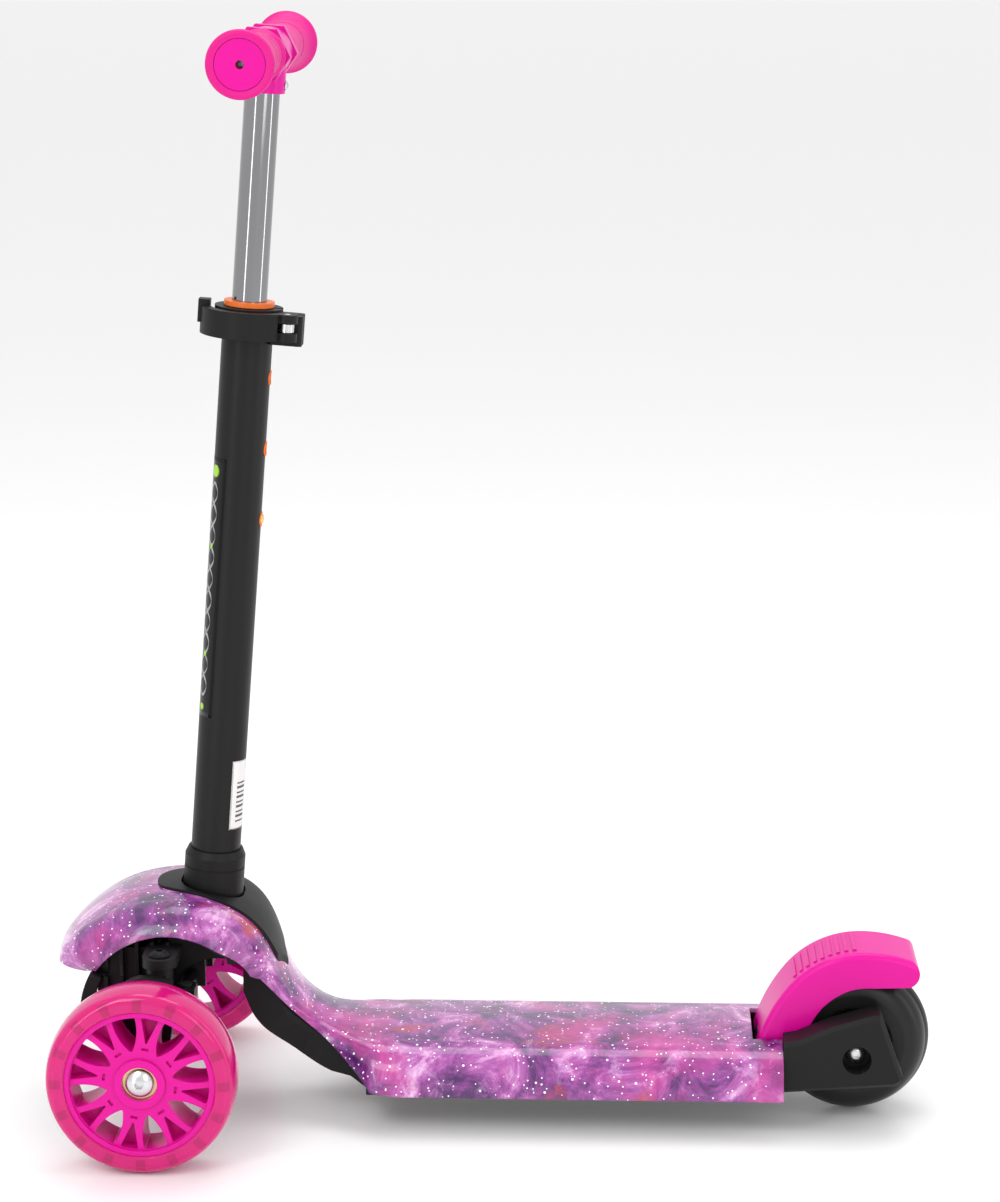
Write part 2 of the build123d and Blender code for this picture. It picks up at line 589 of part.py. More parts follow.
def knuckle(outward):
    """Steering knuckle: kingpin barrel, upright, axle boss and the arm that the tie rod drives."""
    y_pin = outward * KINGPIN_Y
    with BuildPart() as made:
        rod(upright(KINGPIN_X, y_pin, BARREL_Z[0]), 8.5, BARREL_Z[1] - BARREL_Z[0])
        with BuildSketch(side_plane(outward * KNUCKLE_IN)) as plate:
            with BuildLine():
                right = Polyline((9.8, 55), (14, 72), (17.5, 92), (16, 113))
                top = Line(right @ 1, (-4, 116))
                left = Spline(top @ 1, (-19, 104), (-17, 86), (-9.8, 55))
                ThreePointArc(left @ 1, (0, 49.2), right @ 0)
            make_face()
        extrude(plate.sketch, amount=-outward * (KNUCKLE_OUT - KNUCKLE_IN))
        box((KINGPIN_X - 8, KINGPIN_X + 5), sorted((y_pin, outward * (KNUCKLE_IN + 1))),
            (BARREL_Z[0] + 2, BARREL_Z[1] - 4))
        box((KINGPIN_X, ROD_X), sorted((y_pin - 6, y_pin + 6)), (BARREL_Z[0], ROD_Z - 5.4))
        rod(upright(ROD_X, y_pin, BARREL_Z[0]), 6.5, ROD_Z - 5.4 - BARREL_Z[0])
        rod(upright(ROD_X, y_pin, BARREL_Z[0] + 1), DRIVE_R, ROD_Z + 5 - BARREL_Z[0])
        rod(facing(0, outward * (KNUCKLE_OUT - 1), FRONT_R, outward), 7.0, BOSS_END - KNUCKLE_OUT + 1)
        rod(upright(KINGPIN_X, y_pin, 80), PIN_R + RUN, 50, Mode.SUBTRACT)
        rod(facing(0, outward * 80, FRONT_R, outward), AXLE_R, 40, Mode.SUBTRACT)
    return made.part


for side, outward in (("left", -1), ("right", 1)):
    save(knuckle(outward), f"knuckle_{side}")
    y_head = outward * (FRONT_TRACK_HALF + FRONT_BEARING + GAP)
    front_axle = bolt(facing(0, y_head, FRONT_R, outward), 8.6, 4.4, AXLE_R, 54.0, 5.0)
    save(front_axle, f"front_axle_{side}")
    save(nut(facing(0, outward * KNUCKLE_IN, FRONT_R, -outward), 12.0, 6.0, AXLE_R), f"axle_nut_{side}")

with BuildPart() as kingpins:
    for y_pin in (-KINGPIN_Y, KINGPIN_Y):
        top = BARREL_Z[1] + GAP + EAR_T
        add(bolt(upright(KINGPIN_X, y_pin, top), 7.0, 3.6, PIN_R, top - BARREL_Z[0] + 16, 4.5))
save(kingpins.part, "kingpins")
with BuildPart() as kingpin_nuts:
    for y_pin in (-KINGPIN_Y, KINGPIN_Y):
        under = Plane(origin=(FRONT_X + KINGPIN_X, y_pin, BARREL_Z[0] - GAP - EAR_T), z_dir=(0, 0, -1))
        add(nut(under, 12.0, 6.0, PIN_R))
save(kingpin_nuts.part, "kingpin_nuts")

with BuildPart() as tie_rod:
    rod(lateral(ROD_X, -(KINGPIN_Y - 7), ROD_Z), PIN_R, 2 * (KINGPIN_Y - 7))
    for y_end in (-KINGPIN_Y, KINGPIN_Y):
        box((ROD_X - 6.9, ROD_X + 6.5), (y_end - 7.5, y_end + 7.5), (ROD_Z - 4, ROD_Z + 4))
        box((ROD_X - 5.4, ROD_X + 4.4), (y_end - ROD_EYE / 2, y_end + ROD_EYE / 2),
            (ROD_Z - 5, ROD_Z + 5), Mode.SUBTRACT)
    box((ROD_X - 4, ROD_X + 9), (-12, 12), (ROD_Z - 5, ROD_Z + 5))
    box((ROD_X - 5, ROD_X + 5.5), (-ROD_EYE / 2, ROD_EYE / 2), (ROD_Z - 6, ROD_Z + 6), Mode.SUBTRACT)
save(tie_rod.part, "tie_rod")


def coil_spring(plane, radius, wire_r, length, turns):
    """Round-wire compression spring along a plane's normal."""
    turn = Helix(length / turns, length, radius, center=plane.origin, direction=plane.z_dir)
    with BuildPart() as made:
        with BuildSketch(Plane(origin=turn @ 0, z_dir=turn % 0)) as wire:
            Circle(wire_r)
        sweep(wire.sketch, path=turn, is_frenet=True)
    return made.part


SPRING_WIRE = 0.8
for side, y_start in (("left", -GUIDE_Y[0] + SPRING_WIRE + 0.1), ("right", 12 + SPRING_WIRE + 0.1)):
    free = GUIDE_Y[0] - 12 - 2 * SPRING_WIRE - 0.2
    save(coil_spring(lateral(ROD_X, y_start, ROD_Z), 5.4, SPRING_WIRE, free, 6), f"centring_spring_{side}")

# ---------------------------------------------------------------- lean pin and stem
PIN_START = FRONT_WALL_X[0] - 4
PIN_END = REAR_WALL_X[1] + 4
with BuildPart() as lean_pin:
    rod(along_x(PIN_START, 0, LEAN_Z), PIN_R, PIN_END - PIN_START)
save(lean_pin.part, "lean_pin")
with BuildPart() as lean_pin_clips:
    for x_clip in (PIN_START + 0.8, REAR_WALL_X[1] + 0.2):
        rod(along_x(x_clip, 0, LEAN_Z), PIN_R + 2.6, 1.4)
        rod(along_x(x_clip, 0, LEAN_Z), PIN_R, 1.4, Mode.SUBTRACT)
save(lean_pin_clips.part, "lean_pin_clips")

SOCKET_BORE_S = 18.0
LEVER_X = (17.5, 26.0)
STEM_PIN_S = 28.0
with BuildPart() as stem_socket:
    rod(stem_plane(-11), SOCKET_R, SOCKET_TOP - 4.5 + 11)
    with BuildSketch(stem_plane(SOCKET_TOP - 4.5)):
        Circle(SOCKET_R)
    with BuildSketch(stem_plane(SOCKET_TOP)):
        Circle(TUBE_R + 1.6)
    loft()
    with BuildSketch(stem_plane(SOCKET_TOP - 12.5)) as groove:
        Circle(SOCKET_R + 1)
        Circle(SOCKET_R - 0.5, mode=Mode.SUBTRACT)
    extrude(groove.sketch, amount=1.0, mode=Mode.SUBTRACT)
    rod(along_x(SADDLE_X[0], 0, LEAN_Z), SADDLE_R, SADDLE_X[1] - SADDLE_X[0])
    box((0, SADDLE_X[0]), (-60, 60), (60, 150), Mode.SUBTRACT)
    box((SADDLE_X[1], 80), (-60, 60), (60, 141), Mode.SUBTRACT)
    box((0, 80), (-60, 60), (60, LEAN_Z - 12), Mode.SUBTRACT)
    with BuildSketch(along_x(LEVER_X[0], 0, 0)) as lever:
        with BuildLine():
            Polyline((-7, LEAN_Z - 8), (-3.0, ROD_Z + 8), (-3.0, ROD_Z), (3.0, ROD_Z), (3.0, ROD_Z + 8),
                     (7, LEAN_Z - 8), close=True)
        make_face()
        with Locations((0, ROD_Z)):
            Circle(DRIVE_R)
    extrude(lever.sketch, amount=LEVER_X[1] - LEVER_X[0])
    rod(stem_plane(SOCKET_BORE_S), TUBE_R, 60, Mode.SUBTRACT)
    rod(along_x(0, 0, LEAN_Z), PIN_R + RUN, 80, Mode.SUBTRACT)
    rod(lateral(stem_plane(STEM_PIN_S).origin.X - FRONT_X, 1 - SOCKET_R, stem_plane(STEM_PIN_S).origin.Z),
        3.0, 60, Mode.SUBTRACT)
save(main_solid(stem_socket), "stem_socket")


def stem_cross(s, across=0.0, start=-30.0):
    """Plane facing +Y beside the stem, s above the lean axis."""
    middle = stem_plane(s)
    return Plane(origin=middle.origin + middle.x_dir * across + Vector(0, start, 0), z_dir=(0, 1, 0))


def stem_rear(s=0.0, start=0.0):
    """Plane facing out of the stem's rear side, s above the lean axis."""
    middle = stem_plane(s)
    return Plane(origin=middle.origin + middle.x_dir * start, x_dir=(0, 1, 0), z_dir=middle.x_dir)


with BuildPart() as stem_pin:
    rod(stem_cross(STEM_PIN_S, 0, 1 - SOCKET_R), 3.0, 2 * SOCKET_R - 1.6)
save(stem_pin.part, "stem_pin")

HOLE_R = 5.0
SLEEVE_HOLE_R = 4.0
SLIT_TOP = CLAMP_HIGH + 5
button_heights = [BUTTON_S + HOLE_PITCH * step for step in range(3)]
with BuildPart() as outer_tube:
    rod(stem_plane(SOCKET_BORE_S), TUBE_R, CLAMP_HIGH + 0.5 - SOCKET_BORE_S)
    rod(stem_plane(SOCKET_BORE_S), TUBE_R - TUBE_WALL, CLAMP_HIGH, Mode.SUBTRACT)
    for s_hole in button_heights:
        rod(stem_rear(s_hole), HOLE_R, 30, Mode.SUBTRACT)
    with BuildSketch(stem_rear((button_heights[-1] + SLIT_TOP) / 2)) as slit:
        Rectangle(3.0, SLIT_TOP - button_heights[-1])
    extrude(slit.sketch, amount=30, mode=Mode.SUBTRACT)
    rod(stem_cross(STEM_PIN_S), 3.0, 60, Mode.SUBTRACT)
save(outer_tube.part, "outer_tube")

SLEEVE_R = TUBE_R - TUBE_WALL
with BuildPart() as guide_sleeve:
    rod(stem_plane(BUTTON_S - 42), SLEEVE_R, CLAMP_HIGH + 3.5 - BUTTON_S + 42)
    rod(stem_plane(CLAMP_HIGH + 0.5), TUBE_R - 0.1, 3.0)
    rod(stem_plane(BUTTON_S - 50), INNER_R + 0.08, 300, Mode.SUBTRACT)
    for s_hole in button_heights:
        rod(stem_rear(s_hole), SLEEVE_HOLE_R, 30, Mode.SUBTRACT)
save(guide_sleeve.part, "guide_sleeve")

# ---------------------------------------------------------------- clamp
COLLAR_R = 21.5
EAR_X = (16.0, 33.0)
EAR_Y = (1.5, 9.0)
CLAMP_PIVOT = (26.0, -16.0)
CLAMP_MID = (CLAMP_LOW + CLAMP_HIGH) / 2
with BuildPart() as clamp_collar:
    rod(stem_plane(CLAMP_LOW), COLLAR_R, CLAMP_HIGH - CLAMP_LOW)
    with BuildSketch(stem_plane(CLAMP_LOW - 3)) as ears:
        with Locations(((EAR_X[0] + EAR_X[1]) / 2, 0)):
            RectangleRounded(EAR_X[1] - EAR_X[0] + 4, 2 * EAR_Y[1], 3)
    extrude(ears.sketch, amount=CLAMP_HIGH - CLAMP_LOW)
    rod(stem_plane(CLAMP_LOW - 10), TUBE_R + 0.02, 60, Mode.SUBTRACT)
    with BuildSketch(stem_plane(CLAMP_LOW - 10)) as slit:
        with Locations((30, 0)):
            Rectangle(40, 2 * EAR_Y[0])
    extrude(slit.sketch, amount=60, mode=Mode.SUBTRACT)
    rod(stem_cross(CLAMP_MID, CLAMP_PIVOT[0]), 2.6, 60, Mode.SUBTRACT)
save(clamp_collar.part, "clamp_collar")

EYE_HALF = 2.6
with BuildPart() as clamp_bolt:
    with BuildSketch(stem_plane(CLAMP_MID - EYE_HALF)) as eye:
        with Locations(CLAMP_PIVOT):
            Circle(4.6)
    extrude(eye.sketch, amount=2 * EYE_HALF)
    rod(stem_cross(CLAMP_MID, CLAMP_PIVOT[0], CLAMP_PIVOT[1]), 2.5, 31)
    with BuildSketch(stem_plane(CLAMP_MID - 10)) as bore:
        with Locations(CLAMP_PIVOT):
            Circle(2.0)
    extrude(bore.sketch, amount=20, mode=Mode.SUBTRACT)
save(clamp_bolt.part, "clamp_bolt")
save(nut(stem_cross(CLAMP_MID, CLAMP_PIVOT[0], EAR_Y[1]), 9.0, 5.0, 2.5), "clamp_nut")
with BuildPart() as cam_pin:
    with BuildSketch(stem_plane(CLAMP_MID - 8.5)) as shank:
        with Locations(CLAMP_PIVOT):
            Circle(2.0)
    extrude(shank.sketch, amount=17)
save(cam_pin.part, "cam_pin")

CAM_R = 6.6
ARM_IN = 24.0
ARM_OUT = 28.8
with BuildPart() as clamp_lever:
    with BuildSketch(stem_plane(CLAMP_MID - 8.5)) as plan:
        with Locations(CLAMP_PIVOT):
            Circle(CAM_R)
        with BuildLine():
            inner = CenterArc((0, 0), ARM_IN, 184, 136)
            outer = CenterArc((0, 0), ARM_OUT + 1.2, 184, 146)
            Line(inner @ 0, outer @ 0)
            Line(inner @ 1, outer @ 1)
        make_face()
    extrude(plan.sketch, amount=17)
    with BuildSketch(stem_plane(CLAMP_MID - 2)) as tip:
        with BuildLine():
            Polyline((-ARM_OUT - 2.4, -8), (-ARM_IN, -8), (-ARM_IN, 2), (-ARM_OUT - 2.4, 1), close=True)
        make_face()
        fillet(tip.vertices(), 1.0)
    extrude(tip.sketch, amount=14.5)
    with BuildSketch(stem_plane(CLAMP_MID - EYE_HALF - 0.4)) as gap:
        with Locations(CLAMP_PIVOT):
            Circle(CAM_R + 1.2)
    extrude(gap.sketch, amount=2 * EYE_HALF + 0.8, mode=Mode.SUBTRACT)
    with BuildSketch(stem_plane(CLAMP_MID - 20)) as bore:
        with Locations(CLAMP_PIVOT):
            Circle(2.0 + RUN)
    extrude(bore.sketch, amount=40, mode=Mode.SUBTRACT)
save(main_solid(clamp_lever), "clamp_lever")

# ---------------------------------------------------------------- handlebar
INNER_WALL = 1.2
BUTTON_R = 3.8
CORE_R = 9.0
TUBE_TOP = BAR_S - CORE_R - 0.2
PLUG_H = 12.0
HUB_SCREW_S = BAR_S - 19.0
with BuildPart() as inner_tube:
    rod(stem_plane(BUTTON_S - 22), INNER_R, TUBE_TOP - BUTTON_S + 22)
    rod(stem_plane(BUTTON_S - 22), INNER_R - INNER_WALL, TUBE_TOP, Mode.SUBTRACT)
    rod(stem_rear(BUTTON_S), BUTTON_R + 0.15, 30, Mode.SUBTRACT)
    rod(stem_rear(HUB_SCREW_S, -20), 1.75, 40, Mode.SUBTRACT)
save(inner_tube.part, "inner_tube")
with BuildPart() as tube_plug:
    rod(stem_plane(BUTTON_S - 24), INNER_R, 2.0)
    rod(stem_plane(BUTTON_S - 22), INNER_R - INNER_WALL, PLUG_H - 8)
    rod(stem_plane(BUTTON_S - 25), 5.0, 20, Mode.SUBTRACT)
save(tube_plug.part, "tube_plug")

bar = stem_plane(BAR_S).origin


def bar_plane(y):
    """Plane facing +Y on the handlebar's axis, its x level towards the rear."""
    return Plane(origin=(bar.X, y, bar.Z), x_dir=stem_plane().x_dir, z_dir=(0, 1, 0))


with BuildPart() as t_hub:
    rod(bar_plane(-17), 15.6, 34)
    for y_collar in (-26, 17):
        with BuildSketch(bar_plane(y_collar)) as collar:
            RegularPolygon(18.6, 6)
        extrude(collar.sketch, amount=9)
    rod(stem_plane(HUB_SCREW_S - 5), 14.0, 24)
    rod(bar_plane(-60), CORE_R, 120, Mode.SUBTRACT)
    rod(stem_plane(HUB_SCREW_S - 20), INNER_R, TUBE_TOP - HUB_SCREW_S + 20, Mode.SUBTRACT)
    rod(stem_rear(HUB_SCREW_S, -20), 1.75, 40, Mode.SUBTRACT)
save(t_hub.part, "t_hub")
with BuildPart() as hub_screw:
    add(bolt(stem_rear(HUB_SCREW_S, 14.0), 3.2, 1.8, 1.75, 26, 2.0))
save(hub_screw.part, "hub_screw")
with BuildPart() as bar_core:
    rod(bar_plane(-BAR_HALF + 5), CORE_R, 2 * BAR_HALF - 10)
    rod(bar_plane(-BAR_HALF + 5), CORE_R - 1.4, 2 * BAR_HALF - 10, Mode.SUBTRACT)
save(bar_core.part, "bar_core")

GRIP_START = 26.2
GRIP_R = 14.0


def grip(outward):
    """Moulded grip with shallow finger grooves that flares into an end flange."""
    with BuildSketch(Plane(origin=(bar.X, 0, bar.Z), x_dir=(0, outward, 0), z_dir=(-outward, 0, 0))) as half:
        with BuildLine():
            start = Polyline((GRIP_START, CORE_R), (GRIP_START, GRIP_R + 2.0), (GRIP_START + 5, GRIP_R + 2.0),
                             (GRIP_START + 8, GRIP_R))
            flare = Spline(start @ 1, (BAR_HALF - 24, GRIP_R), (BAR_HALF - 5.4, FLANGE_R - 1.2),
                           tangents=((1, 0), (1, 0.75)))
            rim = ThreePointArc(flare @ 1, (BAR_HALF - 2.6, FLANGE_R), (BAR_HALF, FLANGE_R - 2.2))
            Polyline(rim @ 1, (BAR_HALF - 0.6, 15.2), (BAR_HALF - 4.5, 15.2), (BAR_HALF - 4.5, CORE_R),
                     (GRIP_START, CORE_R))
        make_face()
    with BuildPart() as made:
        revolve(half.sketch, Axis((bar.X, 0, bar.Z), (0, 1, 0)))
        for ridge in range(7):
            y_groove = outward * (GRIP_START + 20 + 10 * ridge)
            with BuildSketch(bar_plane(y_groove - 0.9)) as groove:
                Circle(GRIP_R + 4)
                Circle(GRIP_R - 0.7, mode=Mode.SUBTRACT)
            extrude(groove.sketch, amount=1.8, mode=Mode.SUBTRACT)
    return made.part


for side, outward in (("left", -1), ("right", 1)):
    save(grip(outward), f"grip_{side}")
with BuildPart() as bar_end_plugs:
    for outward in (-1, 1):
        face = Plane(origin=(bar.X, outward * (BAR_HALF - 4.5), bar.Z), x_dir=stem_plane().x_dir,
                     z_dir=(0, outward, 0))
        rod(face, 15.0, 3.6)
        rod(Plane(origin=face.origin, z_dir=-face.z_dir), CORE_R - 1.4, 9)
        rod(Plane(origin=face.origin - face.z_dir * 12, z_dir=face.z_dir), 2.5, 30, Mode.SUBTRACT)
save(bar_end_plugs.part, "bar_end_plugs")

BUTTON_FLANGE = (7.3, 8.5)
BUTTON_TIP = 17.6
with BuildPart() as snap_button:
    rod(stem_rear(BUTTON_S, BUTTON_FLANGE[0]), BUTTON_R, BUTTON_TIP - BUTTON_FLANGE[0])
    fillet(snap_button.edges().sort_by(Axis.X)[-1], 2.4)
    rod(stem_rear(BUTTON_S, BUTTON_FLANGE[0]), BUTTON_R + 0.8, BUTTON_FLANGE[1] - BUTTON_FLANGE[0])
save(snap_button.part, "snap_button")
with BuildPart() as button_spring:
    leaf_side = Plane(origin=stem_plane().origin, x_dir=stem_plane().x_dir, z_dir=(0, -1, 0))
    with BuildSketch(leaf_side.offset(-2.5)) as strip:
        with BuildLine():
            Polyline((BUTTON_FLANGE[0] - 0.1, BUTTON_S + 5), (BUTTON_FLANGE[0] - 0.9, BUTTON_S + 5),
                     (BUTTON_FLANGE[0] - 0.9, BUTTON_S - 5), (3.0, BUTTON_S - 15.5), (-3.0, BUTTON_S - 15.5),
                     (-8.4, BUTTON_S + 6), (-9.2, BUTTON_S + 6), (-3.6, BUTTON_S - 16.3),
                     (3.6, BUTTON_S - 16.3), (BUTTON_FLANGE[0] - 0.1, BUTTON_S - 5.6), close=True)
        make_face()
    extrude(strip.sketch, amount=5)
save(button_spring.part, "button_spring")

# ---------------------------------------------------------------- foot brake
FENDER_HALF = 26.0
FENDER_INNER = 22.6
PAD_R = REAR_R + BRAKE_REST_GAP
with BuildPart() as brake_fender:
    with BuildSketch(side_plane(-FENDER_HALF)) as profile:
        with BuildLine():
            back = TangentArc((455, 113.2), (405.8, 89.8), tangent=(-1, 0))
            shin = TangentArc(back @ 1, (385.6, 50), tangent=back % 1)
            tail = TangentArc((455, 113.2), (485, 108.0), tangent=(1, 0))
            lip = ThreePointArc(tail @ 1, (489.8, 101), (483.5, 91))
            under = Line(lip @ 1, (464, 90.3))
            inner = Spline(under @ 1, (447, 89), (433, 81.5), (423.5, 71), (417, 58), (413, 46),
                           tangents=((-1, 0), (-0.3, -1)))
            Polyline(inner @ 1, (398, 41.5), (386.5, 41.5), shin @ 1)
        make_face()
    extrude(profile.sketch, amount=-2 * FENDER_HALF)
    flanks = brake_fender.faces().filter_by(Axis.Y)
    fillet([edge for edge in flanks.edges() if edge.geom_type == GeomType.CIRCLE and edge.length > 25], 4.5)
    rod(lateral(WHEELBASE, -FENDER_INNER, REAR_R), PAD_R + 2.0, 2 * FENDER_INNER, Mode.SUBTRACT)
    box((WHEELBASE - 40, WHEELBASE + 60), (-FENDER_INNER, FENDER_INNER), (40, REAR_R + 34), Mode.SUBTRACT)
    for ridge in range(9):
        along = 0.12 + 0.095 * ridge
        spot = back @ along
        way = back % along
        crest = Plane(origin=(FRONT_X + spot.X, 0, spot.Y), x_dir=(0, 1, 0), z_dir=(way.Y, 0, -way.X))
        with BuildSketch(crest.offset(-1)) as pad:
            Rectangle(2 * FENDER_HALF - 18, 2.6)
        extrude(pad.sketch, amount=1.9)
    rod(lateral(BRAKE_PIN[0], -60, BRAKE_PIN[1]), BRAKE_PIN_R + RUN, 120, Mode.SUBTRACT)
    box((384, 402), (-13, 13), (40, 56), Mode.SUBTRACT)
save(main_solid(brake_fender), "brake_fender")
with BuildPart() as brake_pad:
    rod(lateral(WHEELBASE, -15, REAR_R), PAD_R + 2.0, 30)
    rod(lateral(WHEELBASE, -15, REAR_R), PAD_R, 30, Mode.SUBTRACT)
    box((WHEELBASE - 24, WHEELBASE + 24), (-15, 15), (REAR_R + 30, REAR_R + 80), Mode.INTERSECT)
save(brake_pad.part, "brake_pad")
with BuildPart() as brake_spring:
    add(coil_spring(lateral(BRAKE_PIN[0], -8, BRAKE_PIN[1]), 4.6, 0.8, 16, 6))
save(brake_spring.part, "brake_spring")

# ---------------------------------------------------------------- screws
with BuildPart() as deck_screws:
    for x_screw in DECK_SCREW_X:
        for y_screw in DECK_SCREW_Y:
            under = Plane(origin=(FRONT_X + x_screw, y_screw, PAN_Z[1] - 6), z_dir=(0, 0, -1))
            add(bolt(under, 3.6, 1.8, SCREW_R, 12.0, 2.0))
save(deck_screws.part, "deck_screws")
with BuildPart() as bracket_screws:
    for x_screw in BRACKET_SCREW_X:
        for y_screw in BRACKET_SCREW_Y:
            under = Plane(origin=(FRONT_X + x_screw, y_screw, PAN_Z[0] + BRACKET_SEAT), z_dir=(0, 0, -1))
            add(bolt(under, BRACKET_HEAD_R, 2.0, 2.0, 9.6, 2.5))
save(bracket_screws.part, "bracket_screws")
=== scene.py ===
import json
from math import cos, pi, radians, sin

import bpy
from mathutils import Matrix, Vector


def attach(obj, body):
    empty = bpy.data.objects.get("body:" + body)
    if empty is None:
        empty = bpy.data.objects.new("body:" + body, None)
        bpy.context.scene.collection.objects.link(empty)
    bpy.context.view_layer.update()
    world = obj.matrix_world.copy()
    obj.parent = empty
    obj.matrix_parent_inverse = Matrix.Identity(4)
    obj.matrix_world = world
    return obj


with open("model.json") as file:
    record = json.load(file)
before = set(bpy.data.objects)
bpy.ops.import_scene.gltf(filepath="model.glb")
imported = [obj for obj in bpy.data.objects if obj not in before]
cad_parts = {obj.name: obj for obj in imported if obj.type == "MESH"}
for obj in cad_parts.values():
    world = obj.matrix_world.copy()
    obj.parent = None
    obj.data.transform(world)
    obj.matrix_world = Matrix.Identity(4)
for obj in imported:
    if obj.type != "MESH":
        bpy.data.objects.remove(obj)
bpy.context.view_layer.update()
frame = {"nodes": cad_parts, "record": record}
record = frame["record"]
nodes = frame["nodes"]


def joint(name):
    return next(j for j in record["behaviour"]["joints"] if j["name"] == name)


# ---------------------------------------------------------------- places taken from the frame
stem_up = Vector(joint("handlebar_height")["axis"]).normalized()
lean_point = Vector(joint("stem_lean")["pos_m"])
stem_back = Vector((stem_up.z, 0, -stem_up.x))
front_axle = Vector(joint("front_wheel_left_spin")["pos_m"])


def on_stem(s, angle=0.0, radius=0.0):
    """Point s up the stem, angle from its rear side towards the rider's right."""
    side = stem_back * cos(angle) + Vector((0, 1, 0)) * sin(angle)
    return lean_point + stem_up * s + side * radius


# ---------------------------------------------------------------- materials
def new_material(name, color, rough=0.4, metal=0.0, coat=0.0, coat_rough=0.05, spec=0.5):
    """Material with its uniform values on the shader's own sockets."""
    mat = bpy.data.materials.new(name)
    mat.use_nodes = True
    shader = mat.node_tree.nodes["Principled BSDF"]
    shader.inputs["Base Color"].default_value = (*color, 1)
    shader.inputs["Roughness"].default_value = rough
    shader.inputs["Metallic"].default_value = metal
    shader.inputs["Coat Weight"].default_value = coat
    shader.inputs["Coat Roughness"].default_value = coat_rough
    shader.inputs["Specular IOR Level"].default_value = spec
    return mat, shader


def node(mat, kind, **values):
    made = mat.node_tree.nodes.new(kind)
    for key, value in values.items():
        if key in made.inputs:
            made.inputs[key].default_value = value
        else:
            setattr(made, key, value)
    return made


def link(mat, a, b):
    mat.node_tree.links.new(a, b)


def ramp(mat, source, stops):
    """Colour ramp fed by a value: stops are (position, colour)."""
    made = mat.node_tree.nodes.new("ShaderNodeValToRGB")
    while len(made.color_ramp.elements) < len(stops):
        made.color_ramp.elements.new(0.5)
    for element, (place, color) in zip(made.color_ramp.elements, stops):
        element.position = place
        element.color = (*color, 1)
    link(mat, source, made.inputs["Fac"])
    return made.outputs["Color"]


def value_math(mat, operation, a, b=None):
    made = mat.node_tree.nodes.new("ShaderNodeMath")
    made.operation = operation
    for slot, item in zip(made.inputs, (a, b)):
        if item is None:
            continue
        if isinstance(item, (int, float)):
            slot.default_value = item
        else:
            link(mat, item, slot)
    return made.outputs["Value"]


def mix_color(mat, factor, a, b):
    made = mat.node_tree.nodes.new("ShaderNodeMix")
    made.data_type = "RGBA"
    for slot, item in zip((made.inputs[0], made.inputs[6], made.inputs[7]), (factor, a, b)):
        if isinstance(item, float):
            slot.default_value = item
        elif isinstance(item, tuple):
            slot.default_value = (*item, 1)
        else:
            link(mat, item, slot)
    return made.outputs[2]


def object_coordinates(mat):
    return node(mat, "ShaderNodeTexCoord").outputs["Object"]


def soften(mat, shader, grain_scale, grain_depth, edge=0.0005):
    """Rounded edges and a fine surface grain."""
    rounded = node(mat, "ShaderNodeBevel", samples=4)
    rounded.inputs["Radius"].default_value = edge
    noise = node(mat, "ShaderNodeTexNoise")
    noise.inputs["Scale"].default_value = grain_scale
    noise.inputs["Detail"].default_value = 4
    link(mat, object_coordinates(mat), noise.inputs["Vector"])
    bump = node(mat, "ShaderNodeBump")
    bump.inputs["Strength"].default_value = 0.35
    bump.inputs["Distance"].default_value = grain_depth
    link(mat, noise.outputs["Fac"], bump.inputs["Height"])
    link(mat, rounded.outputs["Normal"], bump.inputs["Normal"])
    link(mat, bump.outputs["Normal"], shader.inputs["Normal"])


def vary_roughness(mat, shader, low, high, scale):
    noise = node(mat, "ShaderNodeTexNoise")
    noise.inputs["Scale"].default_value = scale
    noise.inputs["Detail"].default_value = 5
    link(mat, object_coordinates(mat), noise.inputs["Vector"])
    spread = node(mat, "ShaderNodeMapRange")
    spread.inputs["To Min"].default_value = low
    spread.inputs["To Max"].default_value = high
    link(mat, noise.outputs["Fac"], spread.inputs["Value"])
    link(mat, spread.outputs["Result"], shader.inputs["Roughness"])


ROUGH_SPREAD = 0.05


def plain(name, color, rough=0.4, metal=0.0, coat=0.0, grain=(900, 0.00006), spec=0.5):
    mat, shader = new_material(name, color, rough, metal, coat, spec=spec)
    soften(mat, shader, grain[0], grain[1])
    vary_roughness(mat, shader, rough - ROUGH_SPREAD, rough + ROUGH_SPREAD, 60)
    return mat, shader


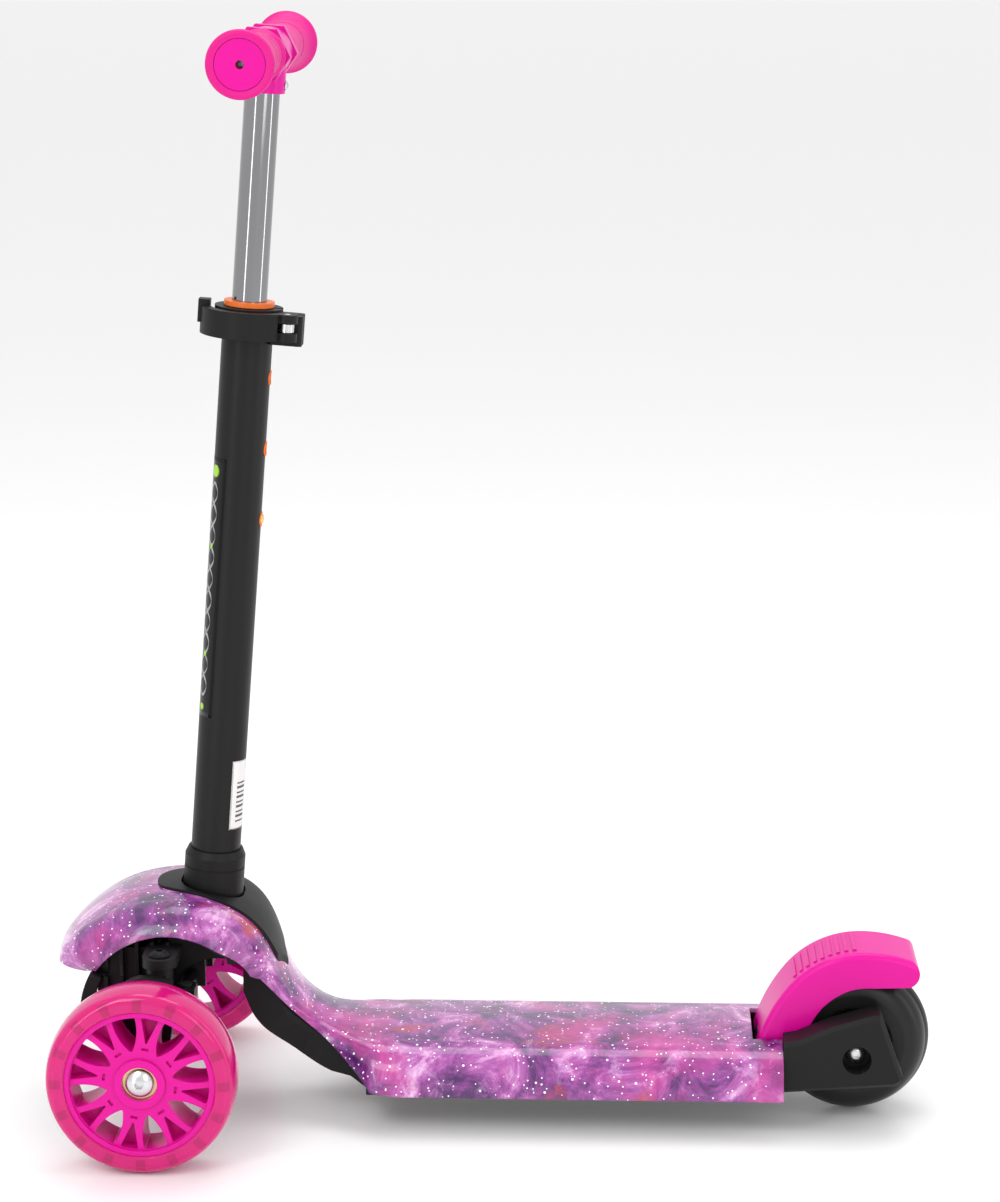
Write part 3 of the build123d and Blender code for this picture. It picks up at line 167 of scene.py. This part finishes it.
def galaxy_film():
    """Printed night-sky film: purple and pink clouds, ember patches and white stars, under a clear coat."""
    mat, shader = new_material("galaxy_film", (0.25, 0.08, 0.4), 0.26, coat=0.6, spec=0.4)
    place = object_coordinates(mat)

    def clouds(scale, detail, rough, offset):
        shift = node(mat, "ShaderNodeMapping")
        shift.inputs["Location"].default_value = offset
        link(mat, place, shift.inputs["Vector"])
        noise = node(mat, "ShaderNodeTexNoise")
        noise.inputs["Scale"].default_value = scale
        noise.inputs["Detail"].default_value = detail
        noise.inputs["Roughness"].default_value = rough
        noise.inputs["Distortion"].default_value = 0.6
        link(mat, shift.outputs["Vector"], noise.inputs["Vector"])
        return noise.outputs["Fac"]

    base = ramp(mat, clouds(30, 13, 0.70, (0, 0, 0)),
                [(0.32, (0.012, 0.003, 0.030)), (0.42, (0.080, 0.012, 0.12)), (0.50, (0.23, 0.040, 0.24)),
                 (0.57, (0.42, 0.10, 0.38)), (0.68, (0.80, 0.50, 0.76))])
    pink_areas = ramp(mat, clouds(15, 9, 0.65, (3, 1, 2)), [(0.5, (0, 0, 0)), (0.64, (0.7, 0.7, 0.7))])
    pink = mix_color(mat, pink_areas, base, (0.55, 0.035, 0.27))
    ember_areas = ramp(mat, clouds(17, 10, 0.66, (7, 4, 5)), [(0.57, (0, 0, 0)), (0.67, (0.8, 0.8, 0.8))])
    ember = mix_color(mat, ember_areas, pink, (0.46, 0.045, 0.04))
    haze_areas = ramp(mat, clouds(42, 12, 0.74, (1, 8, 3)), [(0.56, (0, 0, 0)), (0.70, (0.5, 0.5, 0.5))])
    haze = mix_color(mat, haze_areas, ember, (0.74, 0.52, 0.80))
    total = haze
    for scale, radius in ((170, 0.14), (330, 0.18), (90, 0.08)):
        cells = node(mat, "ShaderNodeTexVoronoi")
        cells.inputs["Scale"].default_value = scale
        link(mat, place, cells.inputs["Vector"])
        near = value_math(mat, "LESS_THAN", cells.outputs["Distance"], radius)
        split = node(mat, "ShaderNodeSeparateColor")
        link(mat, cells.outputs["Color"], split.inputs["Color"])
        lit = value_math(mat, "GREATER_THAN", split.outputs["Red"], 0.6)
        total = mix_color(mat, value_math(mat, "MULTIPLY", near, lit), total, (0.95, 0.92, 1.0))
    link(mat, total, shader.inputs["Base Color"])
    soften(mat, shader, 40, 0.00008, 0.0008)
    return mat


def translucent_urethane():
    """Clear pink tyre with its moulded lugs showing as darker radial bars inside."""
    mat, shader = new_material("pink_urethane_clear", (0.80, 0.004, 0.24), 0.13, coat=0.2, spec=0.35)
    shader.inputs["Transmission Weight"].default_value = 0.35
    shader.inputs["Subsurface Weight"].default_value = 0.4
    shader.inputs["Subsurface Radius"].default_value = (0.012, 0.003, 0.005)
    shader.inputs["Subsurface Scale"].default_value = 0.6
    shader.inputs["IOR"].default_value = 1.48
    split = node(mat, "ShaderNodeSeparateXYZ")
    link(mat, object_coordinates(mat), split.inputs["Vector"])
    across = value_math(mat, "SUBTRACT", split.outputs["X"], front_axle.x)
    above = value_math(mat, "SUBTRACT", split.outputs["Z"], front_axle.z)
    turn = value_math(mat, "ARCTAN2", above, across)
    radius = value_math(mat, "SQRT", value_math(mat, "ADD", value_math(mat, "MULTIPLY", across, across),
                                                value_math(mat, "MULTIPLY", above, above)))
    wave = value_math(mat, "COSINE", value_math(mat, "MULTIPLY", turn, 16.0))
    lug = ramp(mat, wave, [(0.55, (0, 0, 0)), (0.72, (1, 1, 1))])
    band = value_math(mat, "MULTIPLY", value_math(mat, "LESS_THAN", radius, 0.0565),
                      value_math(mat, "GREATER_THAN", radius, 0.0488))
    inside = value_math(mat, "MULTIPLY", lug, band)
    tone = mix_color(mat, value_math(mat, "MULTIPLY", inside, 0.55), (0.80, 0.004, 0.24), (0.42, 0.002, 0.10))
    link(mat, tone, shader.inputs["Base Color"])
    soften(mat, shader, 120, 0.00005, 0.0006)
    return mat


def brushed(name, color, rough, stretch):
    """Metal with fine lines drawn along one axis."""
    mat, shader = new_material(name, color, rough, 1.0)
    scale = node(mat, "ShaderNodeMapping")
    scale.inputs["Scale"].default_value = stretch
    link(mat, object_coordinates(mat), scale.inputs["Vector"])
    noise = node(mat, "ShaderNodeTexNoise")
    noise.inputs["Scale"].default_value = 1.0
    noise.inputs["Detail"].default_value = 4
    link(mat, scale.outputs["Vector"], noise.inputs["Vector"])
    spread = node(mat, "ShaderNodeMapRange")
    spread.inputs["To Min"].default_value = max(0.03, rough - 0.05)
    spread.inputs["To Max"].default_value = rough + 0.08
    link(mat, noise.outputs["Fac"], spread.inputs["Value"])
    link(mat, spread.outputs["Result"], shader.inputs["Roughness"])
    rounded = node(mat, "ShaderNodeBevel", samples=4)
    rounded.inputs["Radius"].default_value = 0.0004
    bump = node(mat, "ShaderNodeBump")
    bump.inputs["Strength"].default_value = 0.12
    bump.inputs["Distance"].default_value = 0.00004
    link(mat, noise.outputs["Fac"], bump.inputs["Height"])
    link(mat, rounded.outputs["Normal"], bump.inputs["Normal"])
    link(mat, bump.outputs["Normal"], shader.inputs["Normal"])
    return mat


def soft_pink(name, color, rough, coat, depth):
    mat, shader = plain(name, color, rough, coat=coat, grain=(500, depth), spec=0.22)
    shader.inputs["Subsurface Weight"].default_value = 0.12
    shader.inputs["Subsurface Radius"].default_value = (0.004, 0.001, 0.002)
    return mat


HOT_PINK = (0.68, 0.001, 0.29)
finishes = {
    "galaxy_plastic": galaxy_film(),
    "pink_plastic": soft_pink("hot_pink_plastic", HOT_PINK, 0.33, 0.06, 0.00004),
    "pink_grip": soft_pink("hot_pink_grip", (0.66, 0.006, 0.23), 0.42, 0.0, 0.00007),
    "pink_urethane": translucent_urethane(),
    "black_plastic": plain("black_moulding", (0.006, 0.006, 0.006), 0.46, grain=(1400, 0.00008), spec=0.22)[0],
    "black_paint": plain("black_tube_paint", (0.006, 0.006, 0.006), 0.40, grain=(700, 0.00005), spec=0.24)[0],
    "black_urethane": plain("black_tyre", (0.007, 0.007, 0.007), 0.34, grain=(400, 0.00008), spec=0.3)[0],
    "orange_plastic": plain("orange_sleeve", (0.86, 0.17, 0.015), 0.36, grain=(500, 0.00003))[0],
    "chrome_tube": brushed("chrome_tube", (0.30, 0.30, 0.31), 0.07, (300, 300, 12)),
    "steel": brushed("zinc_steel", (0.66, 0.66, 0.68), 0.24, (250, 250, 250)),
    "black_steel": plain("black_oxide", (0.010, 0.010, 0.011), 0.38, 0.6, spec=0.25)[0],
    "bronze": brushed("bearing_bronze", (0.62, 0.45, 0.24), 0.20, (250, 250, 250)),
    "brass": brushed("brass_button", (0.80, 0.55, 0.20), 0.18, (200, 200, 200)),
    "brake_metal": plain("brake_pad_black", (0.02, 0.02, 0.02), 0.55)[0],
}
slots = {part["node"]: part["material_slot"] for part in record["subparts"]}
for name, piece in nodes.items():
    piece.data.materials.clear()
    piece.data.materials.append(finishes["bronze" if "bearings" in name else slots[name]])


# ---------------------------------------------------------------- decals on the stem
TUBE_R = next(m for m in record["mounts"] if m["name"] == "stem_tube")["dims"]["r_mm"] / 1000


def tube_film(name, low, high, edges, lift, finish, steps=60, around=14):
    """Thin film on the outer tube; edges(s) gives the two angles it spans at a height."""
    verts, faces = [], []
    for i in range(steps + 1):
        s = low + (high - low) * i / steps
        first, last = edges(s)
        for j in range(around + 1):
            verts.append(on_stem(s, first + (last - first) * j / around, TUBE_R + lift))
    for i in range(steps):
        for j in range(around):
            a = i * (around + 1) + j
            faces.append((a, a + 1, a + around + 2, a + around + 1))
    mesh = bpy.data.meshes.new(name)
    mesh.from_pydata(verts, [], faces)
    for face in mesh.polygons:
        face.use_smooth = True
    mesh.materials.append(finish)
    film = bpy.data.objects.new(name, mesh)
    bpy.context.collection.objects.link(film)
    thick = film.modifiers.new("thickness", "SOLIDIFY")
    thick.thickness = 0.00006
    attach(film, "stem")
    return film


decal_black = plain("decal_black", (0.004, 0.004, 0.005), 0.22, coat=0.08, spec=0.25)[0]
decal_silver = plain("decal_silver", (0.62, 0.62, 0.64), 0.3)[0]
decal_green = plain("decal_green", (0.34, 0.62, 0.03), 0.3)[0]
label_white = plain("label_white", (0.80, 0.80, 0.78), 0.45)[0]
label_grey = plain("label_grey", (0.18, 0.18, 0.18), 0.5)[0]

FRONT = pi
tube_film("stem_decal", 0.137, 0.306, lambda s: (FRONT - 1.15, FRONT + 1.15), 0.00012, decal_black)


def vine(offset, sway, turns, half):
    """Edges of a ribbon that winds up the decal."""
    def edges(s):
        middle = FRONT + offset + sway * sin(2 * pi * turns * (s - 0.150) / 0.140)
        width = half * (0.55 + 0.45 * cos(2 * pi * turns * 2 * (s - 0.150) / 0.140))
        return middle - width, middle + width
    return edges


def dot(middle, offset, radius):
    """Edges of a round dot on the tube."""
    def edges(s):
        half = max(radius ** 2 - (s - middle) ** 2, 0) ** 0.5 / TUBE_R
        return FRONT + offset - half, FRONT + offset + half
    return edges


DECAL_OFFSET = 0.55
VINE_LOW, VINE_HIGH = 0.150, 0.290
DOTS = ((0.143, 0.0025), (0.178, 0.0018), (0.2485, 0.0018), (0.297, 0.0042))
for side, offset in (("left", DECAL_OFFSET), ("right", -DECAL_OFFSET)):
    tube_film(f"decal_vine_a_{side}", VINE_LOW, VINE_HIGH, vine(offset, 0.24, 5, 0.075), 0.00022,
              decal_silver, 140, 2)
    tube_film(f"decal_vine_b_{side}", VINE_LOW, VINE_HIGH, vine(offset, -0.24, 5, 0.050), 0.00024,
              decal_silver, 140, 2)
    for number, (middle, radius) in enumerate(DOTS):
        tube_film(f"decal_dot_{number}_{side}", middle - radius, middle + radius,
                  dot(middle, offset, radius), 0.00026, decal_green, 14, 6)
LABEL_ANGLE = -radians(27)
tube_film("stem_label", 0.063, 0.109, lambda s: (LABEL_ANGLE - 0.50, LABEL_ANGLE + 0.50), 0.00012, label_white)
for number in range(9):
    low = 0.068 + 0.0032 * number
    tube_film(f"label_bar_{number}", low, low + (0.0010, 0.0016)[number % 2],
              lambda s: (LABEL_ANGLE - 0.22, LABEL_ANGLE + 0.30), 0.00022, label_grey, 2, 8)


def sleeve_rim(name, middle, inner=0.0042, outer=0.0049, steps=40):
    """Raised orange rim of the guide sleeve round one height hole, at the rear of the tube."""
    verts, faces = [], []
    for i in range(steps):
        turn = 2 * pi * i / steps
        for ring, lift in ((inner, -0.0008), (inner, 0.0007), (outer, 0.0004), (outer, -0.0008)):
            angle = ring * sin(turn) / TUBE_R
            verts.append(on_stem(middle + ring * cos(turn), angle, TUBE_R + lift))
    for i in range(steps):
        a, b = 4 * i, 4 * ((i + 1) % steps)
        for j in range(4):
            k = (j + 1) % 4
            faces.append((a + j, b + j, b + k, a + k))
    mesh = bpy.data.meshes.new(name)
    mesh.from_pydata(verts, [], faces)
    mesh.materials.append(finishes["orange_plastic"])
    rim = bpy.data.objects.new(name, mesh)
    bpy.context.collection.objects.link(rim)
    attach(rim, "stem")


HOLE_PITCH = 0.0455
button_s = (Vector(joint("height_button_press")["pos_m"]) - lean_point).dot(stem_up)
for number in range(3):
    sleeve_rim(f"sleeve_rim_{number}", button_s + HOLE_PITCH * number)


# ---------------------------------------------------------------- camera, light and floor
camera_data = bpy.data.cameras.new("camera")
camera_data.sensor_fit = "VERTICAL"
camera_data.sensor_height = 36.0
camera_data.lens = 95.84
camera_data.clip_start = 0.01
camera = bpy.data.objects.new("camera", camera_data)
bpy.context.collection.objects.link(camera)
CAMERA_YAW = 0.038
CAMERA_PITCH = 0.222
camera.location = (0.07905, -1.990, 0.78798)
camera.rotation_euler = (pi / 2 - CAMERA_PITCH, 0, CAMERA_YAW)
bpy.context.scene.camera = camera
bpy.context.scene.view_settings.view_transform = "Standard"

floor_mesh = bpy.data.meshes.new("floor")
floor_mesh.from_pydata([(-30, -30, 0), (30, -30, 0), (30, 30, 0), (-30, 30, 0)], [], [(0, 1, 2, 3)])
floor = bpy.data.objects.new("floor", floor_mesh)
floor.location.z = -0.0002
bpy.context.collection.objects.link(floor)
floor_mat = new_material("pale_floor", (0.95, 0.95, 0.95), 0.30, spec=0.3)[0]
floor_mesh.materials.append(floor_mat)

world = bpy.data.worlds.new("studio")
world.use_nodes = True
world.node_tree.nodes["Background"].inputs["Color"].default_value = (1, 1, 1, 1)
world.node_tree.nodes["Background"].inputs["Strength"].default_value = 0.92
bpy.context.scene.world = world


def softbox(name, place, target, width, height, power):
    light = bpy.data.lights.new(name, "AREA")
    light.shape = "RECTANGLE"
    light.size = width
    light.size_y = height
    light.energy = power
    made = bpy.data.objects.new(name, light)
    made.location = place
    made.rotation_euler = (Vector(target) - Vector(place)).to_track_quat("-Z", "Y").to_euler()
    bpy.context.collection.objects.link(made)


softbox("key", (-0.9, -1.6, 1.9), (0, 0, 0.2), 1.0, 1.0, 11)
softbox("fill", (1.0, -1.9, 1.0), (0, 0, 0.25), 0.8, 1.4, 7)
softbox("strip_left", (-1.1, -1.5, 0.9), (0, 0, 0.5), 0.16, 1.8, 5)
softbox("strip_right", (1.5, -0.3, 0.9), (0, 0, 0.5), 0.16, 1.8, 4)
softbox("top", (0.1, 0.5, 2.2), (0, 0, 0.1), 1.6, 1.0, 14)
